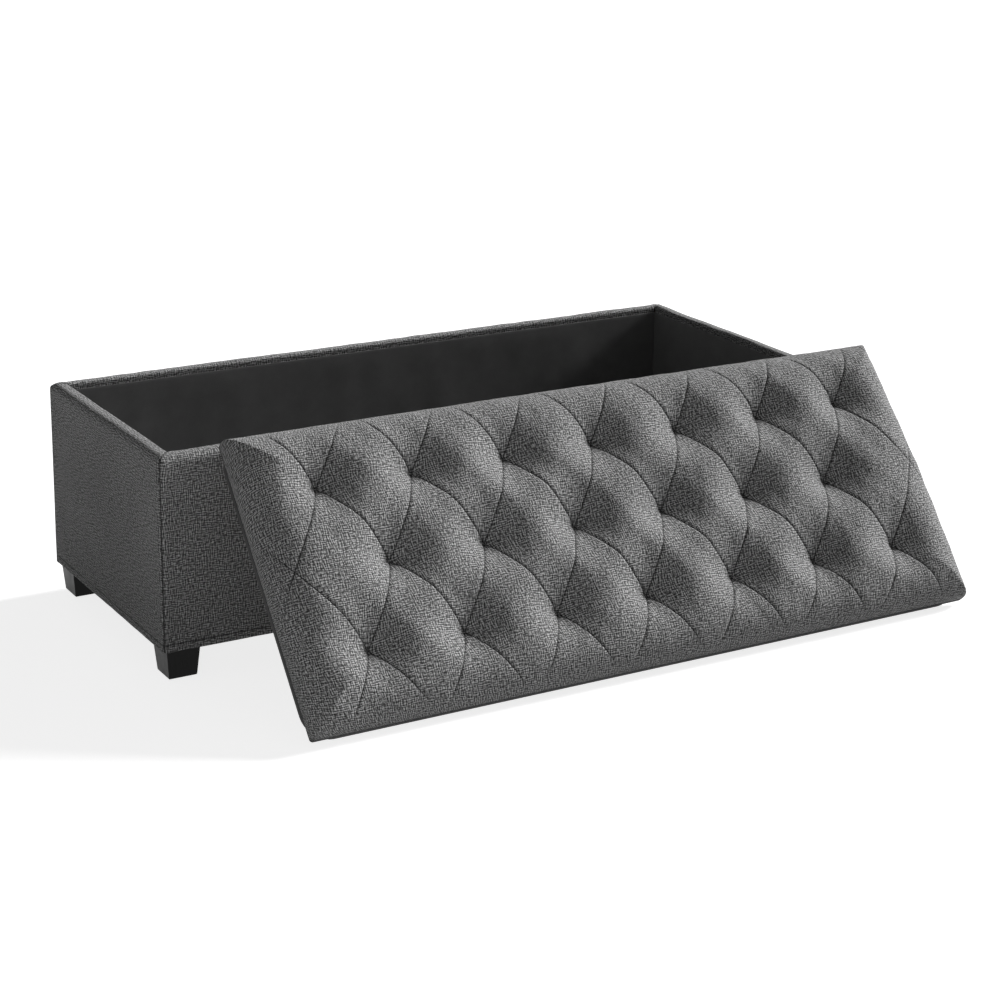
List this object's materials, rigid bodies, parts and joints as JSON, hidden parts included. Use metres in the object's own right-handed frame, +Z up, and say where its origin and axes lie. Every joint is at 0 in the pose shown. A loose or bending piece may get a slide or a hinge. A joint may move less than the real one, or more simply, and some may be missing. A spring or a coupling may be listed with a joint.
{
  "type": "storage bench",
  "caption": "Upholstered storage bench: a padded, lined box on short tapered legs, with a loose diamond-tufted seat lid leaning on its front rim.",
  "frame": {"origin": "on the floor, under the middle of the whole footprint, which is the box and the leaning lid in front of it", "axes": "+X along the bench to the right, +Y from the front to the back, +Z up"},
  "size_m": [1.195, 0.7396, 0.3519],
  "materials": {
    "upholstery": "heathered linen-look weave, dark grey",
    "lining": "thin black non-woven",
    "foam": "open-cell foam",
    "board": "raw fibreboard",
    "timber": "sawn softwood",
    "leg": "satin black paint",
    "glide": "moulded",
    "insert": "turned",
    "fastener": "zinc plated",
    "cord": "waxed twine"
  },
  "bodies": {
    "box": {"front_panel": "board", "back_panel": "board", "left_panel": "board", "right_panel": "board", "floor_panel": "board", "front_rail": "timber", "back_rail": "timber", "left_rail": "timber", "right_rail": "timber", "centre_rail": "timber", "corner_blocks": "timber", "leg_inserts": "insert", "leg_bolts": "fastener", "front_left_leg": "leg", "front_right_leg": "leg", "back_left_leg": "leg", "back_right_leg": "leg", "leg_glides": "glide", "front_pad": "foam", "back_pad": "foam", "left_pad": "foam", "right_pad": "foam", "front_cover": "upholstery", "back_cover": "upholstery", "left_cover": "upholstery", "right_cover": "upholstery", "front_lining": "lining", "back_lining": "lining", "left_lining": "lining", "right_lining": "lining", "floor_lining": "lining", "dust_cover": "lining", "wall_screws": "fastener", "rail_screws": "fastener"},
    "lid": {"seat_board": "board", "seat_foam": "foam", "seat_cover": "upholstery", "tuft_cords": "cord", "tuft_washers": "fastener", "lid_base": "board", "lid_lining": "lining", "front_batten": "timber", "back_batten": "timber", "left_batten": "timber", "right_batten": "timber", "batten_screws": "fastener"}
  },
  "joints": [
    {"name": "lid_lift", "type": "slide", "parent": "box", "child": "lid", "axis": [0, 0, 1], "range_m": [0, 0.37]}
  ]
}
